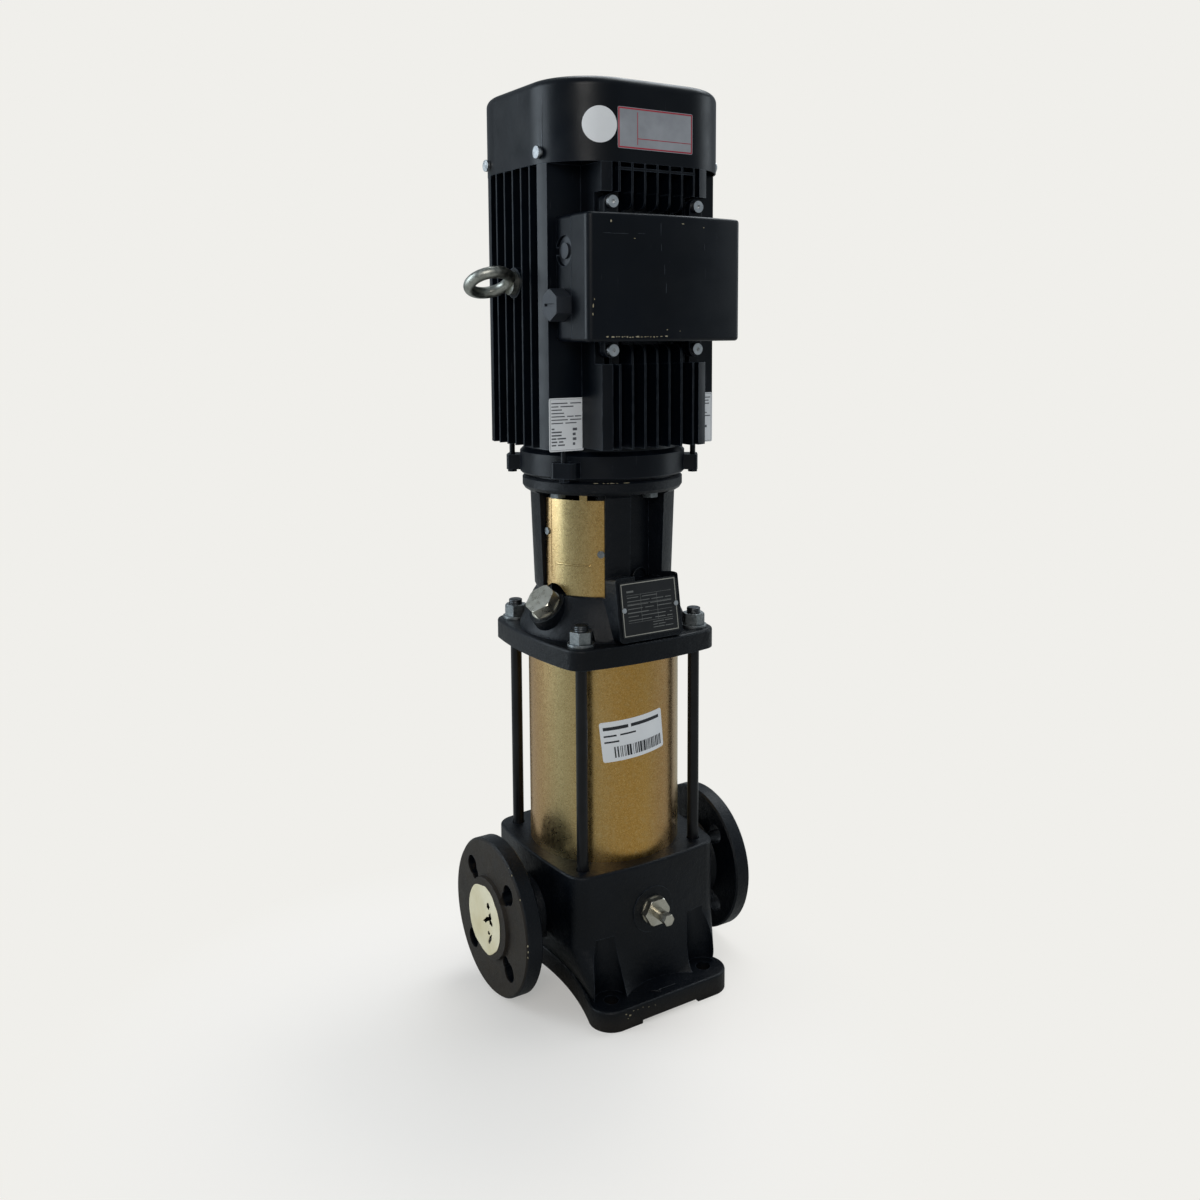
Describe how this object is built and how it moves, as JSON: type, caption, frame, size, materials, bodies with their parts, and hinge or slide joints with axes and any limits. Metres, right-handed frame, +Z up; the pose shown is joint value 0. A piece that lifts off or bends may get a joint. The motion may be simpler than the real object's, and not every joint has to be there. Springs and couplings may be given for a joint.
{
  "type": "vertical multistage pump",
  "caption": "Vertical inline centrifugal pump: cast foot with two flanged ports, steel sleeve on stay bolts, motor stool and finned motor with terminal box.",
  "frame": {"origin": "on the floor, at the centre of the rectangle of the four foundation-bolt holes", "axes": "+Z up along the shaft, +X along the ports from inlet to outlet, -Y the front with the drain plug, nameplate and terminal box"},
  "size_m": [0.2595, 0.22, 0.803],
  "materials": {
    "cast_black": "black enamel on a cast skin, semi-gloss",
    "motor_black": "smooth black paint, semi-gloss",
    "plug_black": "moulded black plastic",
    "rod_black": "black paint, glossy",
    "zinc_steel": "zinc plated, dull",
    "nickel": "nickel plated, satin",
    "stainless": "rolled stainless steel, satin",
    "rubber": "matt",
    "seal_carbon": "lapped carbide",
    "machined_steel": "turned",
    "lamination": "stacked sheet",
    "copper": "varnished copper wire",
    "plastic_black": "moulded",
    "nameplate_black": "anodised, black with silver lines"
  },
  "bodies": {
    "root": {"pump_base": "cast_black", "pump_head": "cast_black", "drive_end_shield": "motor_black", "stator_housing": "motor_black", "rear_end_shield": "motor_black", "fan_cowl": "motor_black", "terminal_box_base": "motor_black", "terminal_box_cover": "motor_black", "cable_entry_plugs": "plug_black", "staybolts": "rod_black", "staybolt_nuts": "zinc_steel", "staybolt_washers": "zinc_steel", "motor_flange_bolts": "zinc_steel", "tie_bolts": "zinc_steel", "cowl_screws": "zinc_steel", "terminal_box_screws": "zinc_steel", "guard_screws": "zinc_steel", "eyebolt": "zinc_steel", "drain_plug": "nickel", "priming_plug": "nickel", "nameplate_rivets": "nickel", "outer_sleeve": "stainless", "coupling_guard_left": "stainless", "coupling_guard_right": "stainless", "inlet_chamber": "stainless", "top_chamber": "stainless", "chamber_1": "stainless", "chamber_2": "stainless", "chamber_3": "stainless", "chamber_4": "stainless", "chamber_5": "stainless", "chamber_6": "stainless", "chamber_7": "stainless", "seal_gland": "stainless", "sleeve_o_rings": "rubber", "seal_seat_ring": "seal_carbon", "bearing_outer_rings": "machined_steel", "stator_core": "lamination", "stator_windings": "copper", "terminal_board": "plastic_black", "nameplate": "nameplate_black"},
    "rotor": {"motor_shaft": "machined_steel", "rotor_core": "lamination", "fan": "plastic_black", "bearing_inner_rings": "machined_steel", "coupling_half_left": "machined_steel", "coupling_half_right": "machined_steel", "coupling_screws": "zinc_steel", "coupling_pin": "machined_steel", "pump_shaft": "stainless", "seal_rotating_ring": "seal_carbon", "impeller_1": "stainless", "impeller_2": "stainless", "impeller_3": "stainless", "impeller_4": "stainless", "impeller_5": "stainless", "impeller_6": "stainless", "impeller_7": "stainless"},
    "bypass_cone_body": {"bypass_cone": "nickel"},
    "bypass_spindle_body": {"bypass_spindle": "nickel"}
  },
  "joints": [
    {"name": "rotor_spin", "type": "hinge", "parent": "root", "child": "rotor", "pos_m": [0, 0, 0.3], "axis": [0, 0, 1], "continuous": true},
    {"name": "bypass_travel", "type": "slide", "parent": "root", "child": "bypass_cone_body", "axis": [0, -1, 0], "range_m": [0, 0.00187]},
    {"name": "bypass_turn", "type": "hinge", "parent": "bypass_cone_body", "child": "bypass_spindle_body", "pos_m": [0, -0.09, 0.084], "axis": [0, -1, 0], "range_deg": [0, 540]}
  ],
  "couplings": [
    {"joint": "bypass_turn", "follows": "bypass_travel", "rad_per_m": 5026.5}
  ]
}
